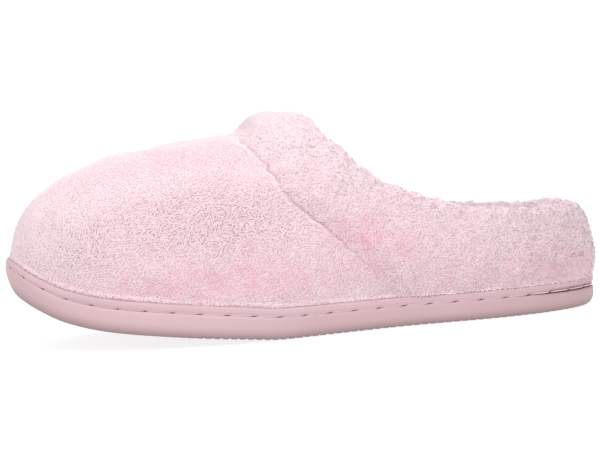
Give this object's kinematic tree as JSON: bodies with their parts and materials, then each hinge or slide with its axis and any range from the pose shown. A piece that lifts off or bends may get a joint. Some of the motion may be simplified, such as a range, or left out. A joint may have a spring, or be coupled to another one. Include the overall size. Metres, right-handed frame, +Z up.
{
  "type": "slipper",
  "caption": "Closed-toe terry clog slipper with a padded rolled cuff, a cushioned footbed and a ribbed rubber sole under a stitched rubber band.",
  "frame": {"origin": "on the floor under the sole, at the middle of the sole's length and on the line from heel to waist", "axes": "+X to the toe, +Y to the outer side of the foot, +Z up"},
  "size_m": [0.2636, 0.0997, 0.0944],
  "materials": {
    "sole_rubber": "matte moulded foam rubber",
    "band_rubber": "matte moulded foam rubber",
    "footbed_terry": "short looped pile",
    "upper_terry": "short brushed pile",
    "cuff_terry": "short brushed pile"
  },
  "bodies": {
    "root": {"outsole": "sole_rubber", "welt": "band_rubber", "insole": "footbed_terry", "upper": "upper_terry", "cuff": "cuff_terry"}
  },
  "joints": []
}
